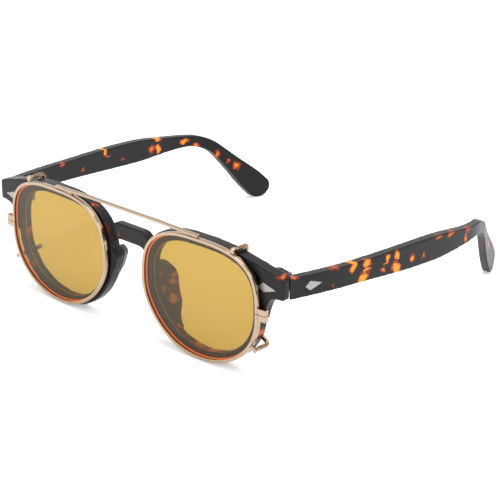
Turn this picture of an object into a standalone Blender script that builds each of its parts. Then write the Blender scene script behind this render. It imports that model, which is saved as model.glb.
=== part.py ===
"""Acetate eyeglasses with a metal clip-on that carries two tinted lenses.

The front faces -Y, the wearer's left is +X, and the glasses stand on z = 0 on the rims and the temple tips.
The front, the lenses and the clip are cut flat, then wrapped to one gentle curve about the vertical.
"""

import math

import bmesh
import bpy
import numpy as np
from mathutils import Vector

# ---- Overall sizes, in metres ----
WRAP_R = 1.136  # radius of the curve that the front and the clip share
HALF_FRONT = 0.0706  # centre line to the outer corner of an end piece
WIDEST_Z = 0.0240  # height at which the rims, the eyes and the eyewires are widest

# ---- Acetate front ----
RIM_CENTRE_X = 0.0343
RIM_HALF_W = 0.0263
RIM_UP = 0.0196
RIM_DOWN = 0.0242  # a little more than WIDEST_Z, which leaves a flat land to stand on
FRONT_Y = 0.0022  # front face of the rims, behind the clip's front plane
FRONT_T = 0.0041
EYE_CENTRE_X = 0.03475
EYE_HALF_W = 0.02305
EYE_UP = 0.0162
EYE_DOWN = 0.0214
BRIDGE_TOP = 0.0378
BRIDGE_H = 0.0061
BRIDGE_HALF = 0.0062  # half length of the bridge's flat top
BRIDGE_SET_BACK = 0.0009
NOSE_HALF = 0.0064  # half the gap between the shoulders of the keyhole
SHOULDER_Z = 0.0256
END_TOP = 0.0378
END_H = 0.0074
END_T = 0.0066  # front to back at the end piece
END_ROOT = 0.0600  # where the end piece starts, from the centre line

# ---- Lens edges and grooves ----
GROOVE_DEPTH = 0.0007
LENS_T = 0.0015
CLIP_LENS_T = 0.0008
FIT = 0.0001  # play between a lens and its groove, on every side
SKIN = 0.00005  # gap between faces that are cemented, brazed or riveted together

# ---- Nose pads ----
PAD_DEPTH = 0.0042  # how far a pad stands behind the front
PAD_SPLAY = 0.50  # outward lean per unit of depth
PAD_SPREAD = 0.0030  # how much further the eye side leans out than the nose side
PAD_WIDTH = 0.0040
PAD_RAMP = 0.0105  # height over which the pad's foot fades into the rim
PAD_LOW = 0.0046
PAD_FOOT = 0.16  # share of its depth that a pad keeps at its foot

# ---- Temples ----
TEMPLE_T = 0.0036
TEMPLE_STRAIGHT = 0.0958
TEMPLE_PITCH = math.radians(3.1)
BEND_R = 0.0190
BEND_ANGLE = math.radians(45.0)
TIP_R = 0.0048
TEMPLE_TOP = END_TOP - 0.0003
SEAM_Y = 0.0047 + HALF_FRONT * HALF_FRONT / (2 * WRAP_R)  # where the outer face of the front meets the temple
SEAM_GAP = 0.00012
MITRE = math.radians(49.0)
SPLAY = [(x, HALF_FRONT + out) for x, out in (  # distance back, outer face from the centre line
    (-0.010, -0.0024), (0.007, 0.0), (0.020, 0.0025), (0.035, 0.0044), (0.065, 0.0063), (0.095, 0.0057),
    (0.110, 0.0014), (0.123, -0.0050), (0.140, -0.0121))]
TEMPLE_WIDTHS = [(0.0, 0.0074), (0.30, 0.0075), (0.60, 0.0088), (0.76, 0.0084), (0.90, 0.0060),
                 (1.0, 0.0046)]  # share of the straight run, width
TIP_WIDTHS = [(0.0, 0.0047), (0.35, 0.0063), (0.75, 0.0088)]  # share of the tip's run, width

# ---- Steel core inside a temple ----
CORE_H = 0.0013
CORE_T = 0.0012
CORE_LOW = 0.0013  # below the temple's middle line
CORE_END = 0.80  # share of the tip's run that the core reaches

# ---- Hinges ----
PIN_OUT = 0.00155  # pin axis from the end piece's back face and from the temple's inner face
KNUCKLE_R = 0.00125
PIN_R = 0.00055
PIN_PLAY = 0.00004
LEAF_T = 0.0008
LEAF_H = 0.0056
LEAF_Z = 0.0334  # middle of the hinge
KNUCKLES = 5
KNUCKLE_GAP = 0.0001
FRONT_LEAF_L = 0.0045
TEMPLE_LEAF_L = 0.0075
SCREW_HEAD_R = 0.00095
SCREW_HEAD_H = 0.0005

# ---- Diamond rivets ----
KITE_L = 0.0073
TEMPLE_KITE_L = 0.0067
KITE_H = 0.0033
KITE_WIDEST = 0.29  # share of its length, from the blunt end
KITE_T = 0.0005
KITE_Z = 0.0333
FRONT_KITE_X = HALF_FRONT - 0.0032  # pointed end of the front's kite
TEMPLE_KITE_Y = SEAM_Y + 0.0132  # pointed end of the temple's kite
SHANK_R = 0.0005
SHANK_PITCH = 0.0019
SHANK_LIFT = 0.0006  # shanks above the kite's middle, clear of the core

# ---- Clip-on ----
CLIP_CENTRE_X = 0.03535
CLIP_HALF_W = 0.0262
CLIP_UP = 0.0198
CLIP_DOWN = 0.02375
WIRE_W = 0.0011
WIRE_D = 0.0018
WIRE_GROOVE = 0.00045
SPLIT_GAP = 0.0002
BLOCK_W = 0.0031
BLOCK_H = 0.0042
BLOCK_D = 0.0019
BLOCK_ANGLE = math.radians(0.5)
CLOSING_R = 0.00045
CLOSING_HEAD_R = 0.00075
BAR_T = 0.0010
BAR_D = 0.0014
BAR_END = 0.0355
BAR_KINK = 0.0166
BAR_RISE = 0.0006
BAR_SEAT = 0.0001
FOOT_IN = 0.0265
FOOT_OUT = 0.0320
FOOT_D = 0.0012
PRONG_R = 0.00065
SLEEVE_R = 0.00095
SLEEVE_PLAY = 0.00003
PRONG_Y = 0.0009
PRONG_BACK = FRONT_Y + FRONT_T + SLEEVE_R + 2 * SKIN  # the hook's sleeve rests on the acetate's back
PRONG_CORNER = 0.0014
SEAT_SIZE = 0.0015
PRONGS = {"upper": (math.radians(58.0), 0.0013, 0.0036),
          "lower": (math.radians(-30.0), 0.0017, 0.0046)}  # place round the rim, stand-off, hook length

# ---- Mesh fineness ----
EYE_STEPS = 60
STRIP = 0.012  # width of the flat strips that make up a wrapped face
TEMPLE_STRIP = 0.010
ROUND = 14

ACETATE = ("2E2B2B", 0.0, 0.38, 1.0)
CLEAR_LENS = ("F4F6F4", 0.0, 0.05, 0.2)
AMBER_LENS = ("D8B562", 0.0, 0.05, 0.6)
GOLD = ("D8B99A", 1.0, 0.22, 1.0)
SILVER = ("C8C3C6", 1.0, 0.30, 1.0)
STEEL = ("A9A9A6", 1.0, 0.35, 1.0)
SLEEVE = ("E6DED6", 0.0, 0.20, 0.4)
SIDES = (("left", 1), ("right", -1))


# ---- Small helpers ----
def wrap(x):
    """How far the shared curve has gone back at distance x from the middle."""
    return x * x / (2 * WRAP_R)


def on_front(side=1):
    """Places a point given as (out from the middle, height, depth) on the wrapped front."""
    return lambda u, v, w: (side * u, w + wrap(u), v)


def spline(points, steps):
    """A smooth curve through the points."""
    pts = [Vector(p) for p in points]
    pts = [pts[0] * 2 - pts[1]] + pts + [pts[-1] * 2 - pts[-2]]
    out = []
    for a, b, c, d in zip(pts, pts[1:], pts[2:], pts[3:]):
        for i in range(steps):
            t = i / steps
            out.append(0.5 * (2 * b + (c - a) * t + (2 * a - 5 * b + 4 * c - d) * t * t
                              + (3 * b - a - 3 * c + d) * t ** 3))
    return [tuple(p) for p in out] + [tuple(pts[-2])]


def value_at(points, x):
    """Height at x of the smooth curve through the points."""
    curve = np.array(spline(points, 12))
    return float(np.interp(x, curve[:, 0], curve[:, 1]))


def pantos(centre, half, start=0.0, turn=2 * math.pi, grow=0.0, closed=True):
    """An eye shape, given its half width and its reach up and down: squarish above and round below."""
    count = EYE_STEPS if closed else EYE_STEPS + 1
    points = []
    for i in range(count):
        a = start + turn * i / EYE_STEPS
        above = 0.5 + 0.5 * math.tanh(3 * math.sin(a)) / math.tanh(3)
        power = (2.05 + 0.78 * above) * (1 + 0.07 * math.cos(a))
        reach = (abs(math.cos(a)) ** power + abs(math.sin(a)) ** power) ** (-1 / power)
        tall = half[1] if math.sin(a) > 0 else half[2]
        points.append((centre[0] + (half[0] + grow) * reach * math.cos(a),
                       centre[1] + (tall + grow) * reach * math.sin(a)))
    return points


def circle(centre, radius, steps=ROUND):
    return [(centre[0] + radius * math.cos(2 * math.pi * i / steps),
             centre[1] + radius * math.sin(2 * math.pi * i / steps)) for i in range(steps)]


def finish_mesh(name, mesh, look):
    """An object with its own material, shaded smooth but for its sharp edges."""
    data = bpy.data.meshes.new(name)
    bmesh.ops.recalc_face_normals(mesh, faces=mesh.faces)
    if mesh.calc_volume(signed=True) < 0:
        bmesh.ops.reverse_faces(mesh, faces=mesh.faces)
    mesh.to_mesh(data)
    mesh.free()
    data.shade_smooth()
    data.set_sharp_from_angle(angle=math.radians(35))
    obj = bpy.data.objects.new(name, data)
    bpy.context.scene.collection.objects.link(obj)
    colour, metallic, roughness, alpha = look
    material = bpy.data.materials.new(name)
    material.use_nodes = True
    shader = material.node_tree.nodes["Principled BSDF"]
    srgb = [int(colour[i:i + 2], 16) / 255 for i in (0, 2, 4)]
    shader.inputs["Base Color"].default_value = [c ** 2.2 for c in srgb] + [1]
    shader.inputs["Metallic"].default_value = metallic
    shader.inputs["Roughness"].default_value = roughness
    shader.inputs["Alpha"].default_value = alpha
    data.materials.append(material)
    return obj


def slab(name, outline, low, high, place, look, strip=STRIP):
    """A closed plate: the outline extruded from low to high, cut in strips, then placed point by point."""
    mesh = bmesh.new()
    face = mesh.faces.new([mesh.verts.new((u, v, low)) for u, v in outline])
    raised = bmesh.ops.extrude_face_region(mesh, geom=[face])["geom"]
    bmesh.ops.translate(mesh, vec=(0, 0, high - low), verts=[g for g in raised if isinstance(g, bmesh.types.BMVert)])
    left = min(u for u, _ in outline)
    right = max(u for u, _ in outline)
    for k in range(math.floor(left / strip) + 1, math.ceil(right / strip)):
        geom = mesh.verts[:] + mesh.edges[:] + mesh.faces[:]
        bmesh.ops.bisect_plane(mesh, geom=geom, dist=1e-7, plane_co=(k * strip, 0, 0), plane_no=(1, 0, 0))
    bmesh.ops.triangulate(mesh, faces=mesh.faces)
    for vert in mesh.verts:
        vert.co = place(*vert.co)
    return finish_mesh(name, mesh, look)


def join_rings(mesh, rings, loop):
    """Skins neighbouring rings; the ends are capped, or met when the row of rings is a loop."""
    size = len(rings[0])
    pairs = list(zip(rings, rings[1:])) + ([(rings[-1], rings[0])] if loop else [])
    for first, second in pairs:
        for i in range(size):
            j = (i + 1) % size
            mesh.faces.new((first[i], first[j], second[j], second[i]))
    if not loop:
        mesh.faces.new(rings[0])
        mesh.faces.new(rings[-1][::-1])


def eyewire(name, outline, profile, place, look, loop):
    """Sweeps a section, given as (outward, depth), round an outline."""
    mesh = bmesh.new()
    rings = []
    count = len(outline)
    for i in range(count):
        before = Vector(outline[i - 1 if loop or i else 0])
        after = Vector(outline[(i + 1) % count if loop else min(i + 1, count - 1)])
        along = (after - before).normalized()
        out = Vector((along.y, -along.x))
        rings.append([mesh.verts.new(place(*(Vector(outline[i]) + out * r), d)) for r, d in profile])
    join_rings(mesh, rings, loop)
    bmesh.ops.triangulate(mesh, faces=mesh.faces)
    return finish_mesh(name, mesh, look)


def tube(name, path, radius, look, bore=0.0, sides=10):
    """A round wire along a path, or a sleeve when it has a bore."""
    mesh = bmesh.new()
    points = [Vector(p) for p in path]
    rings = []
    across = None
    for i, here in enumerate(points):
        along = (points[min(i + 1, len(points) - 1)] - points[max(i - 1, 0)]).normalized()
        if across is None:
            across = along.orthogonal().normalized()
        across = (across - along * across.dot(along)).normalized()
        other = along.cross(across)
        turns = [2 * math.pi * k / sides for k in range(sides)]
        rings.append([[mesh.verts.new(here + (across * math.cos(t) + other * math.sin(t)) * r) for t in turns]
                      for r in ([radius, bore] if bore else [radius])])
    if not bore:
        join_rings(mesh, [ring[0] for ring in rings], False)
    else:
        for k in range(sides):
            n = (k + 1) % sides
            for a, b in zip(rings, rings[1:]):
                mesh.faces.new((a[0][k], a[0][n], b[0][n], b[0][k]))
                mesh.faces.new((a[1][n], a[1][k], b[1][k], b[1][n]))
            for end in (rings[0], rings[-1]):
                mesh.faces.new((end[0][k], end[1][k], end[1][n], end[0][n]))
    return finish_mesh(name, mesh, look)


def rounded_path(corners, radius, steps=5):
    """Straight runs between the corners, with an arc at each."""
    pts = [Vector(p) for p in corners]
    path = [pts[0]]
    for before, here, after in zip(pts, pts[1:], pts[2:]):
        into = (here - before).normalized()
        away = (after - here).normalized()
        half = into.angle(away) / 2
        back = radius * math.tan(half)
        start = here - into * back
        centre = start + (away - into * away.dot(into)).normalized() * radius
        for i in range(steps + 1):
            turn = 2 * half * i / steps
            path.append(centre + (start - centre) * math.cos(turn) + into * radius * math.sin(turn))
    return path + [pts[-1]]


def change(obj, other, how):
    """Adds or cuts another solid; the other one becomes a hidden helper."""
    modifier = obj.modifiers.new(f"{how.lower()} {other.name}"[:60], "BOOLEAN")
    modifier.object = other
    modifier.operation = how
    modifier.solver = "EXACT"
    other.hide_render = True
    other.display_type = "WIRE"
    helpers.append(other)


def add(obj, *others):
    for other in others:
        change(obj, other, "UNION")


def cut(obj, *others):
    for other in others:
        change(obj, other, "DIFFERENCE")


# ---- Lines that several pieces share ----
RIM = ((RIM_CENTRE_X, WIDEST_Z), (RIM_HALF_W, RIM_UP, RIM_DOWN))
EYE = ((EYE_CENTRE_X, WIDEST_Z), (EYE_HALF_W, EYE_UP, EYE_DOWN))
CLIP = ((CLIP_CENTRE_X, WIDEST_Z), (CLIP_HALF_W, CLIP_UP, CLIP_DOWN))
CLIP_TOP = WIDEST_Z + CLIP_UP
GROOVE_Y = FRONT_Y + FRONT_T / 2
BACK_Y = FRONT_Y + FRONT_T
END_BACK = FRONT_Y + END_T


def outer_face(y):
    """Distance of a temple's outer face from the centre line."""
    return value_at(SPLAY, y)


def temple_line(side):
    """Places a point given as (back, height, depth in from the outer face) on a temple."""
    curve = np.array(spline(SPLAY, 12))
    return lambda u, v, w: (side * (float(np.interp(u, curve[:, 0], curve[:, 1])) - w), u, v)


def temple_path():
    """Middle line of a temple, as (back, height) and heading, with its share of the straight run or the tip."""
    start = Vector((SEAM_Y, TEMPLE_TOP - TEMPLE_WIDTHS[0][1] / 2))
    heading = Vector((math.cos(TEMPLE_PITCH), -math.sin(TEMPLE_PITCH)))
    straight = [(start + heading * TEMPLE_STRAIGHT * s, TEMPLE_PITCH, w) for s, w in TEMPLE_WIDTHS]
    corner = start + heading * TEMPLE_STRAIGHT
    centre = corner + Vector((-math.sin(TEMPLE_PITCH), -math.cos(TEMPLE_PITCH))) * BEND_R
    bend = []
    for i in (1, 2, 3):
        a = TEMPLE_PITCH + BEND_ANGLE * i / 4
        bend.append((centre + Vector((math.sin(a), math.cos(a))) * BEND_R, a, TEMPLE_WIDTHS[-1][1]))
    low = TEMPLE_PITCH + BEND_ANGLE
    root = centre + Vector((math.sin(low), math.cos(low))) * BEND_R
    run = (root.y - TIP_R) / math.sin(low)
    down = Vector((math.cos(low), -math.sin(low)))
    tip = [(root + down * run * s, low, w) for s, w in TIP_WIDTHS]
    return straight, bend, tip, root + down * run, root, down * run


def temple_outline():
    """Side view of a temple: its top edge, round tip and bottom edge."""
    straight, bend, tip, end, _, _ = temple_path()
    top = []
    bottom = []
    first = straight[0]
    lead = (first[0] - Vector((0.010, -0.010 * math.tan(TEMPLE_PITCH))), first[1], first[2])
    for middle, slope, width in [lead] + straight + bend + tip:
        up = Vector((math.sin(slope), math.cos(slope))) * width / 2
        top.append(middle + up)
        bottom.append(middle - up)
    low = TEMPLE_PITCH + BEND_ANGLE
    arc = []
    for i in range(1, 12):
        a = math.pi / 2 - low - math.pi * i / 12
        arc.append(end + Vector((math.cos(a), math.sin(a))) * TIP_R)
    top.append(arc[0])
    bottom.append(arc[-1])
    return [Vector(p) for p in spline(top, 3)] + arc[1:-1] + [Vector(p) for p in spline(bottom, 3)][::-1]


def core_outline(grow, lead):
    """Side view of the steel core, or of its bore when it is grown and given a lead past the temple's end."""
    straight, bend, tip, _, root, run = temple_path()
    first = straight[0]
    line = [(first[0] - Vector((lead, -lead * math.tan(TEMPLE_PITCH))), first[1], 0)]
    line += straight[1:] + bend + [(root, tip[0][1], 0), (root + run * CORE_END * 0.5, tip[0][1], 0),
                                   (root + run * CORE_END + run.normalized() * grow, tip[0][1], 0)]
    top = []
    bottom = []
    for middle, slope, _ in line:
        up = Vector((math.sin(slope), math.cos(slope)))
        top.append(middle + up * (CORE_H / 2 + grow - CORE_LOW))
        bottom.append(middle - up * (CORE_H / 2 + grow + CORE_LOW))
    return [Vector(p) for p in spline(top, 2)] + [Vector(p) for p in spline(bottom, 2)][::-1]


def mitre_inner():
    """Where the mitred joint reaches the temple's inner face, as (out, back)."""
    inner = HALF_FRONT - TEMPLE_T
    return Vector((inner, SEAM_Y + TEMPLE_T * math.tan(MITRE)))


def pin_axis():
    inner = mitre_inner()
    return Vector((inner.x - PIN_OUT, inner.y + PIN_OUT))


def mitre_block(name, side, behind, gap):
    """A cutter on one side of the mitred joint: behind it, or in front of it."""
    along = Vector((math.cos(MITRE), -math.sin(MITRE)))
    away = Vector((math.sin(MITRE), math.cos(MITRE))) * (1 if behind else -1)
    seam = Vector((HALF_FRONT, SEAM_Y)) + away * -gap
    reach = 0.03
    near = mitre_inner() - along * (0.0006 if behind else 0.004)
    near = near + away * -gap
    far = seam + along * reach
    corners = [near, far, far + away * reach, near + away * reach]
    if behind:
        corners[3] = Vector((near.x, near.y + reach))
    mesh = bmesh.new()
    rings = [[mesh.verts.new((side * c.x, c.y, z)) for c in corners] for z in (0.0, 0.06)]
    join_rings(mesh, rings, False)
    return finish_mesh(name, mesh, ACETATE)


def kite(tip, length, grow=0.0):
    """A rivet head's outline with its pointed end at tip."""
    blunt = tip - length - 1.5 * grow
    wide = tip - length * (1 - KITE_WIDEST)
    point = tip + 2.2 * grow
    half = KITE_H / 2 + 1.2 * grow
    return [(point, KITE_Z), (wide, KITE_Z + half), (blunt, KITE_Z), (wide, KITE_Z - half)]


# ---- Acetate front ----
def end_piece_outline():
    """The end piece from the front: a straight top falling away from the rim, and a hollow corner below."""
    low = END_TOP - END_H
    return [(0.0440, 0.0432), (HALF_FRONT - 0.0006, END_TOP + 0.0001), (HALF_FRONT, END_TOP - 0.0006),
            (HALF_FRONT, low + 0.0006), (HALF_FRONT - 0.0006, low), (HALF_FRONT - 0.0040, low - 0.0002),
            (0.0650, low - 0.0009), (0.0638, low - 0.0026), (0.0626, low - 0.0054), (0.0614, low - 0.0094),
            (0.0604, low - 0.0094), (0.0604, 0.0360), (0.0540, 0.0410), (0.0440, 0.0420)]


def end_block_outline():
    low = END_TOP - END_H
    return [(END_ROOT + 0.0004, 0.0380), (0.0640, 0.0389), (HALF_FRONT - 0.0006, END_TOP + 0.0001),
            (HALF_FRONT, END_TOP - 0.0006), (HALF_FRONT, low + 0.0006), (HALF_FRONT - 0.0006, low),
            (HALF_FRONT - 0.0040, low - 0.0002), (END_ROOT + 0.0014, low - 0.0004), (END_ROOT + 0.0008, 0.0330)]


def bridge_outline():
    """The keyhole bridge from the front, right across the middle."""
    low = BRIDGE_TOP - BRIDGE_H
    half = [(0.0, BRIDGE_TOP), (BRIDGE_HALF, BRIDGE_TOP), (BRIDGE_HALF + 0.0016, BRIDGE_TOP - 0.0006),
            (BRIDGE_HALF + 0.0032, BRIDGE_TOP - 0.0020), (BRIDGE_HALF + 0.0050, BRIDGE_TOP - 0.0050),
            (BRIDGE_HALF + 0.0036, low - 0.0024), (BRIDGE_HALF + 0.0016, low - 0.0012),
            (BRIDGE_HALF, low - 0.0001), (BRIDGE_HALF - 0.0020, low + 0.0002)]
    other = [(-u, v) for u, v in half[1:]][::-1]
    return half + [(0.0, low + 0.0002)] + other


def flange_edge():
    """The shoulder under the keyhole and the flank below it, on the side of the nose."""
    return spline([(0.0092, SHOULDER_Z + 0.0024), (NOSE_HALF, SHOULDER_Z), (NOSE_HALF + 0.0006, SHOULDER_Z - 0.0030),
                   (NOSE_HALF + 0.0021, SHOULDER_Z - 0.0070), (0.0110, SHOULDER_Z - 0.0110),
                   (0.0130, 0.0107), (0.0166, 0.0072), (0.0204, PAD_LOW)], 3)


def nose_flange():
    """The flange from the front, from its edge to inside the rim."""
    inner = [(0.0222, PAD_LOW + 0.0009), (0.0185, 0.0084), (0.0152, 0.0124), (0.0126, 0.0180), (0.0114, 0.0240),
             (0.0108, SHOULDER_Z + 0.0026)]
    return flange_edge() + inner


def acetate_front():
    """Two rims, keyhole bridge, shoulders and end pieces, in one piece of acetate."""
    front = slab("front", bridge_outline(), FRONT_Y + BRIDGE_SET_BACK, BACK_Y, on_front(), ACETATE)
    for name, side in SIDES:
        place = on_front(side)
        rim = [(u, max(v, 0.0)) for u, v in pantos(*RIM)]
        add(front, slab(f"rim blank {name}", rim, FRONT_Y, BACK_Y, place, ACETATE))
        add(front, slab(f"end blank {name}", end_piece_outline(), FRONT_Y, BACK_Y, place, ACETATE))
        add(front, slab(f"end block {name}", end_block_outline(), FRONT_Y + 0.0004, END_BACK, place, ACETATE))
        add(front, slab(f"flange {name}", nose_flange(), FRONT_Y + 0.0006, BACK_Y, place, ACETATE))
    for name, side in SIDES:
        place = on_front(side)
        eye = pantos(*EYE)
        groove = pantos(*EYE, grow=GROOVE_DEPTH)
        half = LENS_T / 2 + FIT
        cut(front, slab(f"eye cutter {name}", eye, FRONT_Y - 0.002, END_BACK + 0.002, place, ACETATE))
        cut(front, slab(f"groove cutter {name}", groove, GROOVE_Y - half, GROOVE_Y + half, place, ACETATE))
        cut(front, mitre_block(f"front mitre cutter {name}", side, True, 0.0))
        cut(front, front_rivet(f"front rivet cutter {name}", side, SKIN))
    return front


def demo_lens(name, side):
    """Clear lens in the acetate's groove."""
    edge = pantos(*EYE, grow=GROOVE_DEPTH - FIT)
    return slab(name, edge, GROOVE_Y - LENS_T / 2, GROOVE_Y + LENS_T / 2, on_front(side), CLEAR_LENS)


def nose_pad(name, side):
    """Built-up acetate pad behind the nose flange, leaning outward as it goes back."""
    start = BACK_Y + SKIN
    edge = sorted((v, u) for u, v in flange_edge())

    def place(u, v, w):
        share = (w - start) / PAD_DEPTH
        rise = min(max((v - PAD_LOW) / PAD_RAMP, 0.0), 1.0)
        share *= PAD_FOOT + (1 - PAD_FOOT) * rise * rise * (3 - 2 * rise)
        across = (u - float(np.interp(v, *zip(*edge)))) / PAD_WIDTH
        lean = share * (PAD_SPLAY * PAD_DEPTH + PAD_SPREAD * across)
        fall = share * (0.0006 + 0.10 * (v - SHOULDER_Z) + max(v - 0.018, 0.0) * 0.20 * across)
        return (side * (u + lean), start + share * PAD_DEPTH + wrap(u), v - fall)

    outline = [(u, v) for u, v in nose_flange() if v < SHOULDER_Z + 0.0020]
    return slab(name, outline, start, start + PAD_DEPTH, place, ACETATE)


# ---- Rivets ----
def shanks(name, line, low, high, place, radius):
    """Two round shanks side by side, joined to the rivet head by the caller."""
    made = []
    for i, middle in enumerate(line):
        made.append(slab(f"{name} shank {i}", circle(middle, radius, 12), low, high, place, SILVER))
    return made


def front_rivet(name, side, grow=0.0):
    """Kite head let into the front, with two shanks through to the hinge leaf."""
    place = on_front(side)
    head_back = FRONT_Y + KITE_T + grow
    top = FRONT_Y - 0.001 if grow else FRONT_Y
    rivet = slab(name, kite(FRONT_KITE_X, KITE_L, grow), top, head_back, place, SILVER)
    first = FRONT_KITE_X - KITE_L * (1 - KITE_WIDEST) - 0.0010
    line = [(first + i * SHANK_PITCH, KITE_Z + SHANK_LIFT) for i in (0, 1)]
    end = END_BACK + LEAF_T + SKIN + (0.001 if grow else 0.0)
    add(rivet, *shanks(name, line, head_back - 0.0003 - 2 * grow, end, place, SHANK_R + grow))
    return rivet


def temple_rivet(name, side, grow=0.0):
    """Kite head let into the temple's outer face, with two shanks through to the hinge leaf."""
    place = temple_line(side)
    top = -0.001 if grow else 0.0
    rivet = slab(name, kite(TEMPLE_KITE_Y, TEMPLE_KITE_L, grow), top, KITE_T + grow, place, SILVER)
    first = TEMPLE_KITE_Y - TEMPLE_KITE_L * (1 - KITE_WIDEST)
    line = [(first + i * SHANK_PITCH, KITE_Z + SHANK_LIFT) for i in (0, 1)]
    end = TEMPLE_T + LEAF_T + SKIN + (0.001 if grow else 0.0)
    add(rivet, *shanks(name, line, KITE_T - 0.0003 - grow, end, place, SHANK_R + grow))
    return rivet


# ---- Temples ----
def temple(name, side):
    """Acetate temple, mitred at the front, with a bore for its core and a seat for its rivet."""
    place = temple_line(side)
    body = slab(name, temple_outline(), 0.0, TEMPLE_T, place, ACETATE, strip=TEMPLE_STRIP)
    middle = TEMPLE_T / 2
    bore = slab(f"core cutter {name}", core_outline(FIT, 0.012), middle - CORE_T / 2 - FIT,
                middle + CORE_T / 2 + FIT, place, STEEL, strip=TEMPLE_STRIP)
    cut(body, bore, mitre_block(f"temple mitre cutter {name}", side, False, SEAM_GAP))
    cut(body, temple_rivet(f"temple rivet cutter {name}", side, SKIN))
    return body


def core_wire(name, side):
    """Steel core that stiffens a temple and lets its tip be bent."""
    middle = TEMPLE_T / 2
    lead = -(mitre_inner().y - SEAM_Y) - 0.0005
    return slab(name, core_outline(0.0, lead), middle - CORE_T / 2, middle + CORE_T / 2, temple_line(side),
                STEEL, strip=TEMPLE_STRIP)


# ---- Hinges ----
def box(name, low, high, look):
    corners = [(low[0], low[1]), (high[0], low[1]), (high[0], high[1]), (low[0], high[1])]
    mesh = bmesh.new()
    join_rings(mesh, [[mesh.verts.new((*c, z)) for c in corners] for z in (low[2], high[2])], False)
    return finish_mesh(name, mesh, look)


def post(name, centre, radius, low, high, look, steps=ROUND):
    """An upright round bar."""
    mesh = bmesh.new()
    rings = [[mesh.verts.new((*c, z)) for c in circle(centre, radius, steps)] for z in (low, high)]
    join_rings(mesh, rings, False)
    return finish_mesh(name, mesh, look)


def knuckle_heights(first):
    """Bottom and top of every second knuckle, starting at the first."""
    pitch = LEAF_H / KNUCKLES
    base = LEAF_Z - LEAF_H / 2
    return [(base + i * pitch + KNUCKLE_GAP / 2, base + (i + 1) * pitch - KNUCKLE_GAP / 2)
            for i in range(first, KNUCKLES, 2)]


def bore_through(leaf, name, side):
    axis = pin_axis()
    cut(leaf, post(f"{name} bore", (side * axis.x, axis.y), PIN_R + PIN_PLAY, LEAF_Z - LEAF_H,
                   LEAF_Z + LEAF_H, STEEL))


def front_leaf(name, side):
    """Leaf on the end piece's back face, with the outer knuckles."""
    axis = pin_axis()
    clear = axis.x - KNUCKLE_R - 0.0002
    low = LEAF_Z - LEAF_H / 2
    start = END_BACK + SKIN
    flat = [(clear - FRONT_LEAF_L, low), (clear, low), (clear, low + LEAF_H), (clear - FRONT_LEAF_L, low + LEAF_H)]
    leaf = slab(name, flat, start, start + LEAF_T, on_front(side), STEEL)
    face = start + wrap(clear) + 0.0002
    for i, (bottom, top) in enumerate(knuckle_heights(0)):
        add(leaf, post(f"{name} knuckle {i}", (side * axis.x, axis.y), KNUCKLE_R, bottom, top, STEEL))
        ends = sorted((side * (clear - 0.0006), side * axis.x))
        add(leaf, box(f"{name} web {i}", (ends[0], face, bottom), (ends[1], axis.y + 0.0001, top), STEEL))
    bore_through(leaf, name, side)
    line_x = FRONT_KITE_X - KITE_L * (1 - KITE_WIDEST) - 0.0010
    for i in (0, 1):
        hole = circle((line_x + i * SHANK_PITCH, KITE_Z + SHANK_LIFT), SHANK_R + SKIN, 12)
        cut(leaf, slab(f"{name} hole {i}", hole, start - 0.001, start + 0.003, on_front(side), STEEL))
    return leaf


def temple_leaf(name, side):
    """Leaf on the temple's inner face, with the knuckles between."""
    axis = pin_axis()
    clear = axis.y + KNUCKLE_R + 0.0002
    low = LEAF_Z - LEAF_H / 2
    start = TEMPLE_T + SKIN
    flat = [(clear, low), (clear + TEMPLE_LEAF_L, low), (clear + TEMPLE_LEAF_L, low + LEAF_H), (clear, low + LEAF_H)]
    leaf = slab(name, flat, start, start + LEAF_T, temple_line(side), STEEL)
    inner = outer_face(axis.y - 0.0002) - start
    for i, (bottom, top) in enumerate(knuckle_heights(1)):
        add(leaf, post(f"{name} knuckle {i}", (side * axis.x, axis.y), KNUCKLE_R, bottom, top, STEEL))
        ends = sorted((side * axis.x, side * (inner - 0.0002)))
        add(leaf, box(f"{name} web {i}", (ends[0], axis.y - 0.0002, bottom), (ends[1], clear + 0.0008, top), STEEL))
    bore_through(leaf, name, side)
    line_y = TEMPLE_KITE_Y - TEMPLE_KITE_L * (1 - KITE_WIDEST)
    for i in (0, 1):
        hole = circle((line_y + i * SHANK_PITCH, KITE_Z + SHANK_LIFT), SHANK_R + SKIN, 12)
        cut(leaf, slab(f"{name} hole {i}", hole, start - 0.001, start + 0.003, temple_line(side), STEEL))
    return leaf


def hinge_screw(name, side):
    """Pin of the hinge, with a slotted head on top."""
    axis = pin_axis()
    centre = (side * axis.x, axis.y)
    top = LEAF_Z + LEAF_H / 2 + SKIN
    screw = post(name, centre, PIN_R, LEAF_Z - LEAF_H / 2 - 0.0003, top + 0.0002, STEEL)
    add(screw, post(f"{name} head", centre, SCREW_HEAD_R, top, top + SCREW_HEAD_H, STEEL))
    cut(screw, box(f"{name} slot", (centre[0] - 0.002, centre[1] - 0.0001, top + SCREW_HEAD_H - 0.0002),
                   (centre[0] + 0.002, centre[1] + 0.0001, top + SCREW_HEAD_H + 0.001), STEEL))
    return screw


# ---- Clip-on ----
def clip_point(angle):
    """Point and outward direction on the clip rim's outer edge."""
    fine = 1e-4
    before, here, after = (Vector(pantos(*CLIP, angle + d, 0.0)[0])
                           for d in (-fine, 0.0, fine))
    along = (after - before).normalized()
    return here, Vector((along.y, -along.x))


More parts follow.
